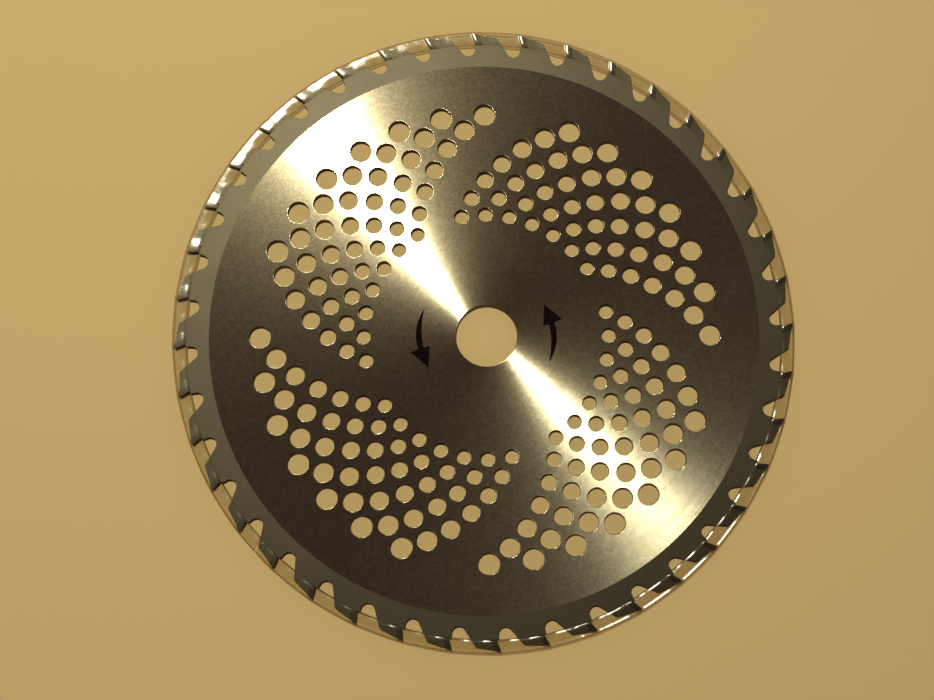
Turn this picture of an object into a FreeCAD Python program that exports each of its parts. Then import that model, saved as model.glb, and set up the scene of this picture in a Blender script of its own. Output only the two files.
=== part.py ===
# Brush cutter blade: a thin steel disc, pierced to make it light, with carbide tips
# brazed into its rim and a clear strip pushed over its teeth. Millimetres. The bore
# axis is +Z, the origin is on it half way through the plate, and the teeth travel
# anticlockwise when seen from +Z.
import FreeCAD, Part
import math
import os

V = FreeCAD.Vector
UP = V(0, 0, 1)

# Blade
CUTTING_R = 127.5             # bore axis to the cutting edges
TOOTH_COUNT = 40
FIRST_TOOTH_DEG = 2.45        # angle of the first cutting edge from +X
PLATE_T = 1.4                 # thickness of the ground middle
BORE_R = 12.7

# Rim band, blasted dull and a little thinner than the middle
BAND_W = 14.2                 # cutting edges to the edge of the ground middle
BAND_DROP = 0.05              # depth of the band below the ground face, on each side

# Carbide tip
TIP_FACE_L = 5.0              # length of the cutting face
TIP_T = 2.2                   # cutting face to back, square to the face
TIP_W = 2.2                   # width across the plate at the cutting edge
TIP_HOOK_DEG = 20.0           # lean of the cutting face from the radius
TIP_TOP_DEG = 12.0            # fall of the top behind the cutting edge
TIP_SIDE_FOOT_DEG = 1.0       # each side closes in towards the foot
TIP_SIDE_BACK_DEG = 2.0       # each side closes in towards the back
TIP_PROUD = 0.1               # length of the tip's back above the plate

# Plate's teeth
LEDGE_W = 1.0                 # plate in front of the tip's foot
LEDGE_R = 0.3
GULLET_DEPTH = 9.6            # cutting edges to the bottom of the gullet
GULLET_R = 2.8
GULLET_SLOPE_DEG = 51.0       # rise of the gullet's far side
SHOULDER_R = 1.2              # rounding where the gullet's far side meets the land
LAND_DEG = 12.0               # fall of the land behind each tip

# Holes, in groups that twist back ring by ring and leave spiral lanes between them
GROUP_COUNT = 4
GROUP_HOLES = 7               # holes of one group in each ring
GROUP_MID_DEG = 67.9          # middle of the first group in the innermost ring, from +X
FIRST_RING_R = 50.5
RING_STEPS = (7.2, 7.4, 7.2, 7.6, 6.7, 6.1)    # from each ring outward to the next
FIRST_HOLE_R = 3.0
HOLE_R_GROWTH = 0.25          # each ring's holes are this much larger in radius
HOLE_TO_BAND = 12.0           # least plate between the outermost holes and the band

# Clear strip over the teeth
STRIP_WALL = 0.4
STRIP_SIDE_GAP = 0.15         # between the strip and the sides of the tips
STRIP_TIP_GAP = 0.8           # between the strip and the cutting edges
STRIP_REACH = 4.9             # cutting edges to the edges of the strip's lips
STRIP_CORNER = 0.15           # size of the bevel in each inside corner
STRIP_BEAD = 0.15             # swell of the bead along each lip, and the bevels on it
STRIP_END_GAP = 0.3           # where the strip's two ends meet
STRIP_END_DEG = 223.0

TOOTH_PITCH_DEG = 360.0 / TOOTH_COUNT
BAND_INNER_R = CUTTING_R - BAND_W


def line(start, end):
    return Part.LineSegment(start, end).toShape()


def arc(start, middle, end):
    return Part.Arc(start, middle, end).toShape()


def crossing(point, direction, other_point, other_direction):
    """Where two lines in the plane of the plate cross."""
    across = other_direction.cross(UP)
    reach = (other_point - point).dot(across) / direction.dot(across)
    return point + direction * reach


def rounded(before, corner, after, radius):
    """Start, middle and end of the arc that rounds a corner between two straight runs."""
    to_before = (before - corner).normalize()
    to_after = (after - corner).normalize()
    half_angle = to_before.getAngle(to_after) / 2
    inward = (to_before + to_after).normalize()
    setback = radius / math.tan(half_angle)
    centre = corner + inward * (radius / math.sin(half_angle))
    return corner + to_before * setback, centre - inward * radius, corner + to_after * setback


class Tooth:
    """Places on one tooth, by distance ahead of its cutting edge and out from the bore."""

    def __init__(self, number):
        angle = math.radians(FIRST_TOOTH_DEG + number * TOOTH_PITCH_DEG)
        self.outward = V(math.cos(angle), math.sin(angle), 0)
        self.ahead = UP.cross(self.outward)
        hook = math.radians(TIP_HOOK_DEG)
        top = math.radians(TIP_TOP_DEG)
        down_face = self.along(-math.sin(hook), -math.cos(hook))
        self.edge = self.along(0, CUTTING_R)
        self.foot_front = self.edge + down_face * TIP_FACE_L
        self.foot_back = self.foot_front - self.ahead * (TIP_T / math.cos(hook))
        down_top = self.along(-math.cos(top), -math.sin(top))
        self.top_back = crossing(self.foot_back, down_face, self.edge, down_top)
        self.seat_top = self.top_back + down_face * TIP_PROUD

    def along(self, ahead, out):
        return self.ahead * ahead + self.outward * out

    def land(self):
        """Start and direction of the land, which falls away behind the tip."""
        fall = math.radians(LAND_DEG)
        return self.seat_top, self.along(-math.cos(fall), -math.sin(fall))


def tip(tooth):
    """A carbide tip: its sides close in from the cutting edge to the foot and to the back."""
    foot_lean = math.tan(math.radians(TIP_SIDE_FOOT_DEG))
    back_lean = math.tan(math.radians(TIP_SIDE_BACK_DEG))
    outline = [tooth.edge, tooth.top_back, tooth.foot_back, tooth.foot_front]

    def half_width(point):
        offset = point - tooth.edge
        return TIP_W / 2 + offset.dot(tooth.outward) * foot_lean + offset.dot(tooth.ahead) * back_lean

    upper = [point + UP * half_width(point) for point in outline]
    lower = [point - UP * half_width(point) for point in outline]
    loops = [upper, lower]
    for k in range(len(outline)):
        following = (k + 1) % len(outline)
        loops.append([upper[k], upper[following], lower[following], lower[k]])
    faces = [Part.Face(Part.makePolygon(loop + loop[:1])) for loop in loops]
    return Part.Solid(Part.Shell(faces))


def rim_edges(tooth, next_tooth):
    """The plate's rim from the top of one tip's seat to the top of the next tip's seat."""
    slope = math.radians(GULLET_SLOPE_DEG)
    ledge_end = tooth.foot_front + tooth.ahead * LEDGE_W
    ledge_ahead = (ledge_end - tooth.edge).dot(tooth.ahead)
    centre = tooth.along(ledge_ahead + GULLET_R, CUTTING_R - GULLET_DEPTH + GULLET_R)
    wall_foot = centre - tooth.ahead * GULLET_R
    # the gullet's floor turns from straight down to the slope of its far side
    half_turn = (math.pi / 2 + slope) / 2
    floor_middle = centre + tooth.along(-math.cos(half_turn), -math.sin(half_turn)) * GULLET_R
    slope_foot = centre + tooth.along(math.sin(slope), -math.cos(slope)) * GULLET_R
    up_slope = tooth.along(math.cos(slope), math.sin(slope))
    land_top, down_land = next_tooth.land()
    shoulder = crossing(slope_foot, up_slope, land_top, down_land)
    ledge = rounded(tooth.foot_back, ledge_end, wall_foot, LEDGE_R)
    crest = rounded(slope_foot, shoulder, land_top, SHOULDER_R)
    return [line(tooth.seat_top, tooth.foot_back),
            line(tooth.foot_back, ledge[0]),
            arc(*ledge),
            line(ledge[2], wall_foot),
            arc(wall_foot, floor_middle, slope_foot),
            line(slope_foot, crest[0]),
            arc(*crest),
            line(crest[2], land_top)]


def rings():
    """Radius of each ring of holes and of its holes, for as many rings as there is room for."""
    found = []
    radius = FIRST_RING_R
    for number, step in enumerate((0,) + RING_STEPS):
        radius += step
        hole_r = FIRST_HOLE_R + HOLE_R_GROWTH * number
        if radius + hole_r + HOLE_TO_BAND > BAND_INNER_R:
            break
        found.append((radius, hole_r))
    return found


def hole_wires():
    """Each ring has one place more than holes in each group, and rings are staggered."""
    place_deg = 360.0 / (GROUP_COUNT * (GROUP_HOLES + 1))
    wires = []
    for number, (radius, hole_r) in enumerate(rings()):
        for group in range(GROUP_COUNT):
            middle_deg = GROUP_MID_DEG + group * 360.0 / GROUP_COUNT - number * place_deg / 2
            for hole in range(GROUP_HOLES):
                angle = math.radians(middle_deg + (hole - (GROUP_HOLES - 1) / 2) * place_deg)
                centre = V(radius * math.cos(angle), radius * math.sin(angle), 0)
                wires.append(Part.Wire(Part.makeCircle(hole_r, centre)))
    return wires


def blade_disc(teeth):
    """One plate, cut to its outline, pierced, then thinned on both faces along the band."""
    edges = []
    for tooth, next_tooth in zip(teeth, teeth[1:] + teeth[:1]):
        edges += rim_edges(tooth, next_tooth)
    wires = [Part.Wire(edges), Part.Wire(Part.makeCircle(BORE_R))] + hole_wires()
    sheet = Part.makeFace(wires, "Part::FaceMakerBullseye")
    disc = sheet.extrude(UP * PLATE_T)
    disc.translate(UP * (-PLATE_T / 2))
    around = Part.makeCylinder(CUTTING_R, PLATE_T).cut(Part.makeCylinder(BAND_INNER_R, PLATE_T))
    above, below = around.copy(), around.copy()
    above.translate(UP * (PLATE_T / 2 - BAND_DROP))
    below.translate(UP * (BAND_DROP - 1.5 * PLATE_T))
    return disc.cut([above, below]).Solids[0]


def strip_profile():
    """Section of the strip: a channel open to the bore, with a bead along each lip."""
    inner_h = TIP_W / 2 + STRIP_SIDE_GAP
    outer_h = inner_h + STRIP_WALL
    inner_r = CUTTING_R + STRIP_TIP_GAP
    outer_r = inner_r + STRIP_WALL
    lip_r = CUTTING_R - STRIP_REACH
    bead_end = lip_r + STRIP_WALL + 2 * STRIP_BEAD
    outer_corner = STRIP_CORNER + STRIP_WALL * (2 - math.sqrt(2))
    upper = [(inner_r, inner_h - STRIP_CORNER),
             (inner_r - STRIP_CORNER, inner_h),
             (bead_end, inner_h),
             (bead_end - STRIP_BEAD, inner_h - STRIP_BEAD),
             (lip_r + STRIP_BEAD, inner_h - STRIP_BEAD),
             (lip_r, inner_h),
             (lip_r, outer_h - STRIP_BEAD),
             (lip_r + STRIP_BEAD, outer_h),
             (outer_r - outer_corner, outer_h),
             (outer_r, outer_h - outer_corner)]
    lower = [(radius, -height) for radius, height in reversed(upper)]
    corners = [V(radius, 0, height) for radius, height in upper + lower]
    return Part.Face(Part.makePolygon(corners + corners[:1]))


def edge_guard():
    """The strip goes once round the teeth, and its ends all but meet."""
    gap_deg = math.degrees(STRIP_END_GAP / CUTTING_R)
    strip = strip_profile().revolve(V(0, 0, 0), UP, 360.0 - gap_deg)
    strip.rotate(V(0, 0, 0), UP, STRIP_END_DEG + gap_deg / 2)
    return strip


def write(name, shape):
    shape.exportStep(os.path.join("parts", name + ".step"))


os.makedirs("parts", exist_ok=True)
all_teeth = [Tooth(number) for number in range(TOOTH_COUNT)]
write("blade_disc", blade_disc(all_teeth))
for number, tooth in enumerate(all_teeth):
    write("carbide_tip_%02d" % (number + 1), tip(tooth))
write("edge_guard", edge_guard())
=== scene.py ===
# Looks of the brush cutter blade: steel, carbide, clear strip and print. Metres.
import bpy
import math
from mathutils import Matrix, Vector


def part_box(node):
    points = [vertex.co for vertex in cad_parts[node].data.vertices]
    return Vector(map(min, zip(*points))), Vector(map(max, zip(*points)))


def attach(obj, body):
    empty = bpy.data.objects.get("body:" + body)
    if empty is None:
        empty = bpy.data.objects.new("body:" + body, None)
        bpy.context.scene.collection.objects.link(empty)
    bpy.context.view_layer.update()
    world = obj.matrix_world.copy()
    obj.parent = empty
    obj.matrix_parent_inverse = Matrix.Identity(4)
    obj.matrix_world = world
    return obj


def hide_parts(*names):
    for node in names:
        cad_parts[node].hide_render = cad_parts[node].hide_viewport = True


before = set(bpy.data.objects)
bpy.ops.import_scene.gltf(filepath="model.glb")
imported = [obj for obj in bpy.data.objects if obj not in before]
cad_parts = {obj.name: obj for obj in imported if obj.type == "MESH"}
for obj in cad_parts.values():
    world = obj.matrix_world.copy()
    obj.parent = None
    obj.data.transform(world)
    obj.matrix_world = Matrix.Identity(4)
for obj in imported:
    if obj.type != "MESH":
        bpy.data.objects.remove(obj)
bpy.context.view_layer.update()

MM = 0.001
TAU = 2 * math.pi

# sizes read from the frame
guard_low, guard_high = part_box("edge_guard")
PLATE_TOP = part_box("blade_disc")[1][2]
GUARD_TOP = guard_high[2]
FLOOR_Z = guard_low[2]

# sizes as the CAD has them
BAND_INNER_R = 113.3 * MM
CUTTING_R = 127.5 * MM
TOOTH_COUNT = 40
TOOTH_PITCH = TAU / TOOTH_COUNT
FIRST_TOOTH = math.radians(2.45)           # angle of the first cutting edge from +X


def rgba(red, green, blue):
    return (red, green, blue, 1.0)


class Tree:
    """Adds nodes to a material or world, with inputs given as values or as other sockets."""

    def __init__(self, owner):
        owner.use_nodes = True
        self.tree = owner.node_tree
        self.tree.nodes.clear()

    def add(self, kind, inputs=(), **settings):
        node = self.tree.nodes.new(kind)
        for name, value in settings.items():
            setattr(node, name, value)
        for key, value in dict(inputs).items():
            socket = node.inputs[key]
            if isinstance(value, bpy.types.NodeSocket):
                self.tree.links.new(value, socket)
            else:
                socket.default_value = value
        return node

    def place(self):
        return self.add("ShaderNodeTexCoord").outputs["Object"]

    def math(self, operation, *values):
        node = self.add("ShaderNodeMath", dict(enumerate(values)), operation=operation)
        return node.outputs[0]

    def vector(self, operation, *values):
        node = self.add("ShaderNodeVectorMath", dict(enumerate(values)), operation=operation)
        return node.outputs["Value" if operation == "LENGTH" else "Vector"]

    def scale(self, vector, factor):
        node = self.add("ShaderNodeVectorMath", {0: vector, "Scale": factor}, operation="SCALE")
        return node.outputs["Vector"]

    def height_of(self, vector):
        return self.add("ShaderNodeSeparateXYZ", {0: vector}).outputs["Z"]

    def between(self, value, low, high, to_low=0.0, to_high=1.0, smooth=False):
        node = self.add("ShaderNodeMapRange", {"Value": value, "From Min": low, "From Max": high,
                                               "To Min": to_low, "To Max": to_high},
                        interpolation_type="SMOOTHSTEP" if smooth else "LINEAR")
        return node.outputs["Result"]

    def noise(self, vector, scale, detail, roughness):
        node = self.add("ShaderNodeTexNoise", {"Vector": vector, "Scale": scale, "Detail": detail,
                                               "Roughness": roughness})
        return node.outputs["Fac"]

    def spread(self, noise, to_low=0.0, to_high=1.0):
        """Brings the range where most of a noise lies to another range."""
        return self.between(noise, NOISE_LOW, NOISE_HIGH, to_low, to_high)

    def patches(self, noise, edge, core, share=1.0):
        """0 where a noise is below the edge of its patches, rising to a share at their core."""
        return self.between(noise, edge, core, 0.0, share)

    def mix(self, factor, low, high):
        node = self.add("ShaderNodeMix", {0: factor, 6: low, 7: high}, data_type="RGBA")
        return node.outputs[2]

    def bump(self, height, strength, distance, **inputs):
        node = self.add("ShaderNodeBump", {"Height": height, "Strength": strength,
                                           "Distance": distance, **inputs})
        return node.outputs[0]

    def shader(self, kind, inputs, **settings):
        return self.add("ShaderNodeBsdf" + kind, inputs, **settings).outputs[0]

    def mix_shaders(self, share, low, high):
        return self.add("ShaderNodeMixShader", {0: share, 1: low, 2: high}).outputs[0]

    def show(self, surface, output="ShaderNodeOutputMaterial"):
        self.add(output, {"Surface": surface})


def new_material(name):
    material = bpy.data.materials.new(name)
    return material, Tree(material)


# noises: cells to the metre, detail, and roughness of the detail
NOISE_LOW, NOISE_HIGH = 0.3, 0.7           # most of a noise lies in this range
STAINS = (45.0, 3.0, 0.55)
GRIT = (900.0, 3.0, 0.7)
GRAINS = (2600.0, 3.0, 0.7)
CLOUDS = (60.0, 4.0, 0.6)

# grinding marks round the bore axis: arcs to the metre, detail, and roughness of the detail
FINE_MARKS = (1400.0, 3.0, 0.6)
BROAD_MARKS = (160.0, 2.0, 0.5)
HAIR_MARKS = (100000.0, 1.0, 0.5)
FINE_SHARE, BROAD_SHARE = 0.6, 0.4         # of the fine and broad marks in the colour
MARK_CHANGE = 2.5                          # how fast the marks change along their run

# ground middle of the disc
GROUND_DARK = rgba(0.426, 0.388, 0.288)
GROUND_LIGHT = rgba(0.446, 0.407, 0.302)
STAIN = rgba(0.34, 0.29, 0.19)
STAIN_PATCHES = (0.35, 0.75, 0.25)         # edge and core in the noise, and share at the core
GRIT_RANGE = (0.72, 1.25)                  # factors of the colour in the darkest and lightest grit
SWIRL = 2.4 * MM                           # lines across the marks pass the bore axis this far beside it
GRIND_ROUGHNESS = 0.205
GRIND_LEAN = 0.60                          # how far single marks tip the face across their run
SKIRT_SHARE = 0.100                        # share of the gloss from coarser marks that cross
SKIRT_TINT = (1.0, 0.90, 0.78)
SKIRT_ANISOTROPY = 0.66
SKIRT_ROUGHNESS = 0.357
EDGE_ROUNDING = 0.28 * MM                  # how wide the worn edges of teeth and holes catch the light
EDGE_SAMPLES = 6

# blasted rim band, and the cut edges and hole walls, whose near-black colour is painted shade
BAND_DARK = rgba(0.073, 0.0605, 0.039)
BAND_LIGHT = rgba(0.109, 0.089, 0.0575)
BAND_CLOUD = rgba(0.059, 0.051, 0.034)
CLOUD_PATCHES = (0.35, 0.75, 0.35)
BAND_METALLIC = 0.75
BAND_ROUGHNESS = 0.475
BAND_BUMP = (0.25, 0.02 * MM)              # strength and height
# cut edges and hole walls: near black as painted shade for the dark rims in the holes, with a random
# cloudy variation
WALL_SHADE_DARK = rgba(0.040, 0.031, 0.024)
WALL_SHADE_LIGHT = rgba(0.060, 0.048, 0.036)
WALL_ROUGHNESS = 0.5
FACE_LIMIT = 0.5                           # a face whose normal is less upright is an edge or wall

FLATTEN = (1, 1, 0)                        # takes the height out of a place


def arc_marks(tree, radius, turning, arcs, detail, roughness):
    """Noise in arcs round the bore axis: it changes fast outward and slowly along the arcs."""
    outward = tree.add("ShaderNodeCombineXYZ", {"X": tree.math("MULTIPLY", radius, arcs)}).outputs[0]
    return tree.noise(tree.vector("ADD", outward, turning), 1.0, detail, roughness)


def ground_surface(tree, place, flat, radius, worn):
    """Ground steel, whose fine arcs stretch the gloss across their run into two bright lobes."""
    outward = tree.vector("NORMALIZE", flat)
    turning = tree.scale(outward, MARK_CHANGE)
    fine = arc_marks(tree, radius, turning, *FINE_MARKS)
    broad = arc_marks(tree, radius, turning, *BROAD_MARKS)
    marks = tree.math("ADD", tree.math("MULTIPLY", fine, FINE_SHARE),
                      tree.math("MULTIPLY", broad, BROAD_SHARE))
    colour = tree.mix(tree.spread(marks), GROUND_DARK, GROUND_LIGHT)
    stains = tree.patches(tree.noise(place, *STAINS), *STAIN_PATCHES)
    colour = tree.mix(stains, colour, STAIN)
    colour = tree.scale(colour, tree.spread(tree.noise(place, *GRIT), *GRIT_RANGE))

    beside = tree.vector("CROSS_PRODUCT", outward, (0, 0, SWIRL))
    across = tree.vector("NORMALIZE", tree.vector("ADD", flat, beside))
    hair = arc_marks(tree, radius, turning, *HAIR_MARKS)
    lean = tree.scale(across, tree.between(hair, 0.0, 1.0, -GRIND_LEAN, GRIND_LEAN))
    marked = tree.vector("NORMALIZE", tree.vector("ADD", worn, lean))
    ground = tree.shader("Principled", {
        "Base Color": colour, "Metallic": 1.0, "Anisotropic": 1.0, "Roughness": GRIND_ROUGHNESS,
        "Tangent": across, "Normal": marked})
    skirt = tree.shader("Principled", {
        "Base Color": tree.vector("MULTIPLY", colour, SKIRT_TINT), "Metallic": 1.0,
        "Anisotropic": SKIRT_ANISOTROPY, "Roughness": SKIRT_ROUGHNESS,
        "Tangent": across, "Normal": worn})
    return tree.mix_shaders(SKIRT_SHARE, ground, skirt)


def band_surface(tree, place, clouds, worn):
    """The rim band: fine blasted grey, darker and rougher than the ground middle."""
    grains = tree.noise(place, *GRAINS)
    colour = tree.mix(tree.spread(grains), BAND_DARK, BAND_LIGHT)
    colour = tree.mix(tree.patches(clouds, *CLOUD_PATCHES), colour, BAND_CLOUD)
    return tree.shader("Principled", {
        "Base Color": colour, "Metallic": BAND_METALLIC, "Roughness": BAND_ROUGHNESS,
        "Normal": tree.bump(grains, *BAND_BUMP, Normal=worn)})


def steel_material():
    material, tree = new_material("plate_steel")
    place = tree.place()
    flat = tree.vector("MULTIPLY", place, FLATTEN)
    radius = tree.vector("LENGTH", flat)
    clouds = tree.noise(place, *CLOUDS)
    geometry = tree.add("ShaderNodeNewGeometry")
    rounded = tree.add("ShaderNodeBevel", {"Radius": EDGE_ROUNDING}, samples=EDGE_SAMPLES).outputs[0]
    worn = tree.vector("NORMALIZE", tree.vector("ADD", rounded, geometry.outputs["Normal"]))
    ground = ground_surface(tree, place, flat, radius, worn)
    band = band_surface(tree, place, clouds, worn)
    # cut edges and hole walls, darkened to near black as painted shade
    wall = tree.shader("Principled", {
        "Base Color": tree.mix(tree.spread(clouds), WALL_SHADE_DARK, WALL_SHADE_LIGHT), "Metallic": 1.0,
        "Roughness": WALL_ROUGHNESS})
    upright = tree.math("ABSOLUTE", tree.height_of(geometry.outputs["True Normal"]))
    on_face = tree.math("GREATER_THAN", upright, FACE_LIMIT)
    in_middle = tree.math("LESS_THAN", radius, BAND_INNER_R)
    face = tree.mix_shaders(in_middle, band, ground)
    tree.show(tree.mix_shaders(on_face, wall, face))
    return material


# carbide tips
CARBIDE_STRETCH = (900, 900, 5000)         # cells to the metre, which draw lines along the plate
CARBIDE_LINES = (1.0, 3.0, 0.6)
CARBIDE_SPECKS = (1800.0, 2.0, 0.5)
CARBIDE_DARK = rgba(0.038, 0.030, 0.024)
CARBIDE_LIGHT = rgba(0.064, 0.052, 0.042)
CARBIDE_SPECK = rgba(0.03, 0.024, 0.02)
SPECK_PATCHES = (0.55, 0.8, 0.4)
CARBIDE_ROUGHNESS = (0.42, 0.52)
CARBIDE_BUMP = (0.2, 0.01 * MM)


def carbide_material():
    material, tree = new_material("carbide")
    place = tree.place()
    lines = tree.noise(tree.vector("MULTIPLY", place, CARBIDE_STRETCH), *CARBIDE_LINES)
    specks = tree.noise(place, *CARBIDE_SPECKS)
    colour = tree.mix(tree.spread(lines), CARBIDE_DARK, CARBIDE_LIGHT)
    colour = tree.mix(tree.patches(specks, *SPECK_PATCHES), colour, CARBIDE_SPECK)
    tree.show(tree.shader("Principled", {
        "Base Color": colour, "Metallic": 1.0, "Normal": tree.bump(lines, *CARBIDE_BUMP),
        "Roughness": tree.spread(specks, *CARBIDE_ROUGHNESS)}))
    return material


# print
INK_WEAR = (900.0, 3.0, 0.6)
INK_DARK = rgba(0.0035, 0.0012, 0.002)
INK_WORN = rgba(0.012, 0.007, 0.008)
WORN_PATCHES = (0.45, 0.8)
INK_ROUGHNESS = (0.6, 0.75)
INK_SPECULAR = 0.03


def ink_material():
    material, tree = new_material("print_ink")
    wear = tree.noise(tree.place(), *INK_WEAR)
    tree.show(tree.shader("Principled", {
        "Base Color": tree.mix(tree.patches(wear, *WORN_PATCHES), INK_DARK, INK_WORN),
        "Roughness": tree.spread(wear, *INK_ROUGHNESS), "Specular IOR Level": INK_SPECULAR}))
    return material


# clear strip
RIPPLE = (220.0, 2.0, 0.5)
SCUFFS = (900.0, 3.0, 0.6)
SCUFF_PATCHES = (0.5, 0.8)
RIPPLE_BUMP = (0.5, 0.15 * MM)
THROUGH_CLEAR = rgba(0.966, 0.960, 0.935)
THROUGH_SCUFFED = rgba(0.945, 0.935, 0.90)
THROUGH_EDGEWAYS = rgba(0.48, 0.37, 0.25)  # through more plastic, where the skin is edgeways
EDGEWAYS_POWER = 2.0
GLOSS_POWER = 4.0                          # how late the gloss grows as the skin turns edgeways
GLOSS_GROWTH, GLOSS_LEAST = 0.6, 0.0235    # share of the gloss: its growth, and seen face on
GLOSS_TINT = rgba(1.0, 1.0, 0.98)
GLOSS_ROUGHNESS = (0.165, 0.21)
HAZE_SHARE = 0.27                          # share of the gloss that is a rougher haze
HAZE_ROUGHNESS = 0.34


def clear_material():
    material, tree = new_material("clear_strip")
    place = tree.place()
    scuffs = tree.noise(place, *SCUFFS)
    bump = tree.bump(tree.noise(place, *RIPPLE), *RIPPLE_BUMP)
    grazing = tree.add("ShaderNodeLayerWeight", {"Normal": bump}).outputs["Facing"]
    share = tree.math("MULTIPLY_ADD", tree.math("POWER", grazing, GLOSS_POWER), GLOSS_GROWTH,
                      GLOSS_LEAST)
    through = tree.mix(tree.patches(scuffs, *SCUFF_PATCHES), THROUGH_CLEAR, THROUGH_SCUFFED)
    through = tree.mix(tree.math("POWER", grazing, EDGEWAYS_POWER), through, THROUGH_EDGEWAYS)
    clear_skin = tree.shader("Transparent", {"Color": through})
    gloss = tree.shader("Glossy", {
        "Color": GLOSS_TINT, "Normal": bump,
        "Roughness": tree.spread(scuffs, *GLOSS_ROUGHNESS)}, distribution="BECKMANN")
    haze = tree.shader("Glossy", {
        "Color": GLOSS_TINT, "Normal": bump, "Roughness": HAZE_ROUGHNESS})
    gloss = tree.mix_shaders(HAZE_SHARE, gloss, haze)
    tree.show(tree.mix_shaders(share, clear_skin, gloss))
    return material


steel = steel_material()
carbide = carbide_material()
ink = ink_material()
clear = clear_material()

cad_looks = {"blade_disc": steel, "edge_guard": clear}
for name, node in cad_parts.items():
    for slot in node.material_slots:
        slot.material = cad_looks.get(name, carbide)


def mesh_object(name, points, faces, material, smooth=False):
    mesh = bpy.data.meshes.new(name)
    mesh.from_pydata(points, [], faces)
    mesh.update()
    mesh.materials.append(material)
    if smooth:
        mesh.shade_smooth()
    piece = bpy.data.objects.new(name, mesh)
    bpy.context.scene.collection.objects.link(piece)
    return piece


# turning arrows, printed: outline of the left one in millimetres from the bore axis
INK_T = 0.02 * MM                          # above the plate's face, and as much below it
TAIL = (-25.4, 11.3)
SHAFT_OUTSIDE = ((-28.9, 2.3), (-28.1, -5.6))       # middle and neck, on the shaft's outer edge
SHAFT_INSIDE = ((-26.7, 2.3), (-25.8, -4.9))
BARB_OUTSIDE = (-31.3, -6.9)
BARB_INSIDE = (-23.4, -4.2)
HEAD_TIP = (-23.9, -13.1)
EDGE_STEPS = 12


def circle_through(start, middle, end, steps):
    """Points along the arc that passes through three points."""
    (ax, ay), (bx, by), (cx, cy) = start, middle, end
    divisor = 2 * (ax * (by - cy) + bx * (cy - ay) + cx * (ay - by))
    a_square = ax * ax + ay * ay
    b_square = bx * bx + by * by
    c_square = cx * cx + cy * cy
    centre_x = (a_square * (by - cy) + b_square * (cy - ay) + c_square * (ay - by)) / divisor
    centre_y = (a_square * (cx - bx) + b_square * (ax - cx) + c_square * (bx - ax)) / divisor
    first = math.atan2(ay - centre_y, ax - centre_x)
    turn = (math.atan2(cy - centre_y, cx - centre_x) - first + math.pi) % TAU - math.pi
    reach = math.hypot(ax - centre_x, ay - centre_y)
    return [(centre_x + reach * math.cos(first + turn * n / steps),
             centre_y + reach * math.sin(first + turn * n / steps)) for n in range(steps + 1)]


def turning_arrow(name, turn):
    outside = circle_through(TAIL, *SHAFT_OUTSIDE, EDGE_STEPS)
    inside = circle_through(TAIL, *SHAFT_INSIDE, EDGE_STEPS)
    outline = outside + [BARB_OUTSIDE, HEAD_TIP, BARB_INSIDE] + inside[:0:-1]
    cos, sin = math.cos(turn), math.sin(turn)
    points = []
    for height in (PLATE_TOP - INK_T, PLATE_TOP + INK_T):
        points += [((x * cos - y * sin) * MM, (x * sin + y * cos) * MM, height) for x, y in outline]
    count = len(outline)
    faces = [tuple(range(count, 2 * count)), tuple(range(count - 1, -1, -1))]
    faces += [(k, (k + 1) % count, (k + 1) % count + count, k + count) for k in range(count)]
    arrow = mesh_object(name, points, faces, ink)
    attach(arrow, "root")


turning_arrow("turning_arrow_left", 0.0)
turning_arrow("turning_arrow_right", math.pi)

# clear strip over the teeth
STRIP_WALL = 0.35 * MM
STRIP_END_DEG = 223.0
STRIP_END_GAP = 0.3 * MM
WEB_R = 128.25 * MM                        # outside of the strip at the teeth
WEB_SAG = 0.3                              # share of the straight chord that it takes between teeth
HOOK = math.radians(20.0)                  # lean of the cutting faces, which the strip's bumps follow

# uneven stretches of the strip: middle and half length in degrees, size, and how sharply
# they begin and end
DEEP_LIP = (315.0, 38.0, 1.0 * MM, 1.0)    # the lip reaches further in
WIDE_WEB = (288.0, 40.0, 0.55 * MM, 1.0)   # the web stands further out
DIP = (306.0, 24.0, 0.42 * MM, 4.0)        # the skin dips inside the web between the teeth

# section of the outer skin, upper half, from lip to web: millimetres inward of the web, and
# below the strip's top, first between two tips and then over a tip
SECTION = (
    (5.75, 1.040, 0.820), (5.73, 0.930, 0.610), (5.62, 0.838, 0.495), (5.35, 0.738, 0.400),
    (5.00, 0.615, 0.298), (4.80, 0.555, 0.255), (4.60, 0.515, 0.225), (4.20, 0.462, 0.182),
    (3.70, 0.414, 0.143), (3.20, 0.380, 0.113), (2.60, 0.346, 0.081), (2.10, 0.320, 0.056),
    (1.65, 0.297, 0.034), (1.20, 0.275, 0.013), (0.80, 0.260, 0.000), (0.50, 0.300, 0.070),
    (0.32, 0.430, 0.230), (0.10, 0.740, 0.600), (0.00, 1.150, 1.100))
DIP_START, DIP_FALL = 0.7, 1.3             # where the dip begins inward of the web, and its fall
DIP_END, DIP_RISE = 3.7, 1.4               # where the dip ends inward of the web, and its rise
LIP_START, LIP_GROWTH = 2.4, 2.0           # where the lip's own changes begin, and their growth

# how the strip rises and falls over one tip, by distance ahead of its cutting face
BUMP_START = -6.0 * MM
BUMP_TOP = -0.5 * MM
BUMP_FOOT = 1.2 * MM
BUMP_POWER = 0.75                          # below 1, more of the rise is near its start
FOOT_EDGE = 0.12 * MM                      # short step past the foot, which keeps its crease sharp
BACK_STATIONS = 8                          # up the back of the bump
BRINK_STATIONS = 8                         # down its brink
FLAT_STATIONS = 11                         # on to the next bump
LIP_SAG = 0.24 * MM                        # drop of the lips into each gullet
SAG_MIDDLE = 5.0 * MM                      # middle of the drop, ahead of a cutting face
SAG_REACH = 4.6 * MM                       # half length of the drop


def within(value):
    """The value, held between 0 and 1."""
    return min(1.0, max(0.0, value))


def ease(value):
    value = within(value)
    return value * value * (3 - 2 * value)


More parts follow.
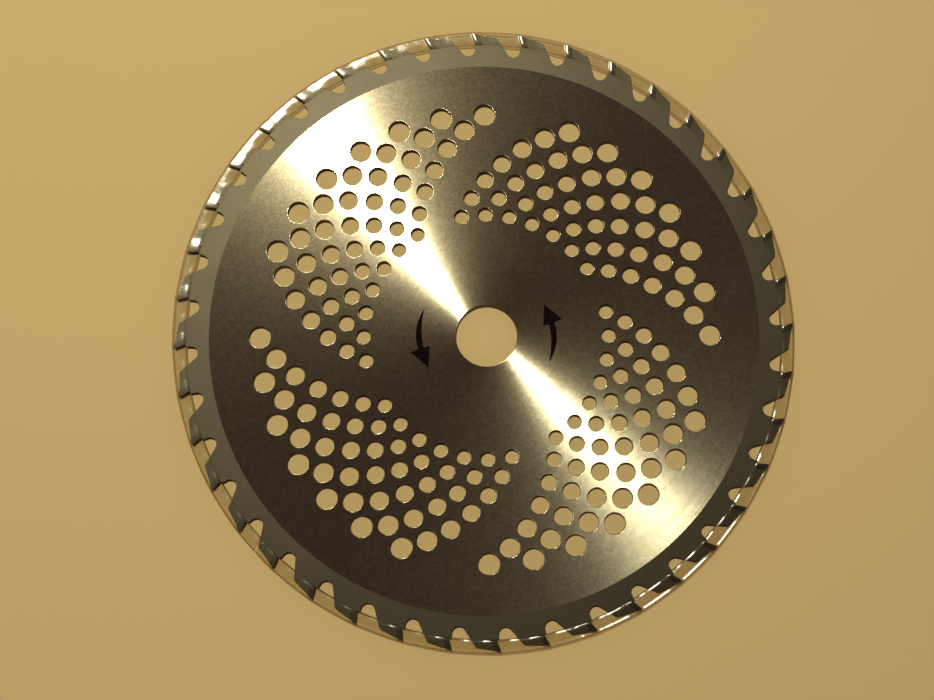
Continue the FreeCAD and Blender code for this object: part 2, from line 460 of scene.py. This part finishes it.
def tooth_stations():
    """Distances ahead of a cutting face, over one tooth pitch, closest where the strip bends."""
    flat_start = BUMP_FOOT + FOOT_EDGE
    runs = ((BUMP_START, BUMP_TOP, BACK_STATIONS),
            (BUMP_TOP, BUMP_FOOT, BRINK_STATIONS),
            (BUMP_FOOT, flat_start, 1),
            (flat_start, BUMP_START + TOOTH_PITCH * CUTTING_R, FLAT_STATIONS))
    return [low + (high - low) * n / count for low, high, count in runs for n in range(count)]


def swell(stretch, degrees):
    """Size of an uneven stretch at one angle."""
    middle, half_length, size, sharpness = stretch
    off = (degrees - middle + 180) % 360 - 180
    return size * ease(sharpness * (1 - abs(off) / half_length))


def strip_station(ahead, degrees):
    """Outer and inner skins of the strip, as a loop of (distance inward of the web, radius, height)."""
    over_tip = ease(max(0.0, (ahead - BUMP_START) / (BUMP_TOP - BUMP_START)) ** BUMP_POWER)
    over_tip *= 1 - within((ahead - BUMP_TOP) / (BUMP_FOOT - BUMP_TOP)) ** 2
    sag = LIP_SAG * ease(1 - abs(ahead - SAG_MIDDLE) / SAG_REACH)
    past = ahead / (TOOTH_PITCH * CUTTING_R) % 1.0           # 0 at a cutting edge
    chord = math.cos(TOOTH_PITCH / 2) / math.cos((past - 0.5) * TOOTH_PITCH)
    web = WEB_R * (1 - WEB_SAG + WEB_SAG * chord) + swell(WIDE_WEB, degrees)
    deep = swell(DEEP_LIP, degrees)
    upper = []
    for inward, low_between, low_over in SECTION:
        lip = ease((inward - LIP_START) / LIP_GROWTH)
        dip = swell(DIP, degrees) * (1 - over_tip) * ease((DIP_END - inward) / DIP_RISE)
        dip *= within((inward - DIP_START) / DIP_FALL)
        height = GUARD_TOP - (low_between + (low_over - low_between) * over_tip) * MM - dip
        height -= sag * lip
        upper.append((inward * MM + deep * lip, height))
    outer = upper + [(inward, -height) for inward, height in reversed(upper)]
    inner = []
    for k, (inward, height) in enumerate(outer):
        before, after = outer[max(k - 1, 0)], outer[min(k + 1, len(outer) - 1)]
        run, rise = before[0] - after[0], after[1] - before[1]
        length = math.hypot(run, rise)
        inner.append((inward - rise / length * STRIP_WALL, height - run / length * STRIP_WALL))
    return [(inward, web - inward, height) for inward, height in outer + inner[::-1]]


def strip_places():
    """Angle and distance ahead of a cutting face at each station, from one strip end to the other."""
    gap = STRIP_END_GAP / WEB_R
    start = math.radians(STRIP_END_DEG) + gap / 2
    places = []
    for tooth in range(TOOTH_COUNT):
        for ahead in tooth_stations():
            angle = (FIRST_TOOTH + tooth * TOOTH_PITCH + ahead / CUTTING_R - start) % TAU
            if angle < TAU - gap:
                places.append((angle + start, ahead))
    return sorted(places)


def clear_strip():
    places = strip_places()
    points, faces = [], []
    for angle, ahead in places:
        for inward, radius, height in strip_station(ahead, math.degrees(angle)):
            # the bumps lean with the cutting faces
            turned = angle - inward * math.tan(HOOK) / WEB_R
            points.append((radius * math.cos(turned), radius * math.sin(turned), height))
    count = len(points) // len(places)
    for n in range(len(places) - 1):
        for k in range(count):
            corner, following = n * count + k, n * count + (k + 1) % count
            faces.append((corner, corner + count, following + count, following))
    last = (len(places) - 1) * count
    faces += [tuple(range(count)), tuple(last + k for k in reversed(range(count)))]
    return mesh_object("clear_strip", points, faces, clear, smooth=True)


strip = clear_strip()
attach(strip, "root")
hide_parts("edge_guard")

# floor
FLOOR_HALF = 3.0
FLOOR_COLOUR = rgba(0.67, 0.495, 0.237)
FLOOR_ROUGHNESS = 0.9
FLOOR_SPECULAR = 0.1

floor_material, floor_tree = new_material("floor")
floor_tree.show(floor_tree.shader("Principled", {
    "Base Color": FLOOR_COLOUR, "Roughness": FLOOR_ROUGHNESS, "Specular IOR Level": FLOOR_SPECULAR}))
floor_corners = [(-FLOOR_HALF, -FLOOR_HALF, FLOOR_Z), (FLOOR_HALF, -FLOOR_HALF, FLOOR_Z),
                 (FLOOR_HALF, FLOOR_HALF, FLOOR_Z), (-FLOOR_HALF, FLOOR_HALF, FLOOR_Z)]
floor = mesh_object("floor", floor_corners, [(0, 1, 2, 3)], floor_material)

# light: one soft lamp, and a world that is brighter towards the horizon
KEY_AZIMUTH = math.radians(114.2)
KEY_ZENITH = math.radians(20.9)
KEY_DISTANCE = 1.3
KEY_SIZE = 0.082
KEY_POWER = 11.4
KEY_COLOUR = (1.0, 0.955, 0.72)
WORLD_ZENITH = rgba(0.0275, 0.0115, 0.0135)
WORLD_HORIZON = rgba(0.67, 0.555, 0.55)
HORIZON_END, ZENITH_START = 0.30, 0.62     # height on a sky of radius 1

key_light = bpy.data.lights.new("key", "AREA")
key_light.shape = "DISK"
key_light.size = KEY_SIZE
key_light.energy = KEY_POWER
key_light.color = KEY_COLOUR
towards_key = Vector((math.sin(KEY_ZENITH) * math.cos(KEY_AZIMUTH),
                      math.sin(KEY_ZENITH) * math.sin(KEY_AZIMUTH),
                      math.cos(KEY_ZENITH)))
key_lamp = bpy.data.objects.new("key", key_light)
key_lamp.location = towards_key * KEY_DISTANCE
key_lamp.rotation_euler = towards_key.to_track_quat("Z", "Y").to_euler()
bpy.context.scene.collection.objects.link(key_lamp)

world = bpy.data.worlds.new("studio")
bpy.context.scene.world = world
world_tree = Tree(world)
skyward = world_tree.height_of(world_tree.add("ShaderNodeTexCoord").outputs["Generated"])
rise = world_tree.between(skyward, HORIZON_END, ZENITH_START, smooth=True)
glow = world_tree.mix(rise, WORLD_HORIZON, WORLD_ZENITH)
background = world_tree.add("ShaderNodeBackground", {"Color": glow})
world_tree.show(background.outputs[0], "ShaderNodeOutputWorld")

# camera, looking down
IMAGE_WIDTH = 934
FOCAL_PIXELS = 1000.0
SENSOR = 36.0
CLIP_START = 0.01
CAMERA_PLACE = Vector((-21.08, -36.29, 409.90)) * MM
CAMERA_TURNS_DEG = (4.250, -1.815, -0.135)

camera_data = bpy.data.cameras.new("camera")
camera_data.sensor_width = SENSOR
camera_data.lens = FOCAL_PIXELS / IMAGE_WIDTH * SENSOR
camera_data.clip_start = CLIP_START
camera = bpy.data.objects.new("camera", camera_data)
camera.location = CAMERA_PLACE
camera.rotation_euler = [math.radians(turn) for turn in CAMERA_TURNS_DEG]
bpy.context.scene.collection.objects.link(camera)
bpy.context.scene.camera = camera
bpy.context.scene.view_settings.view_transform = "Standard"
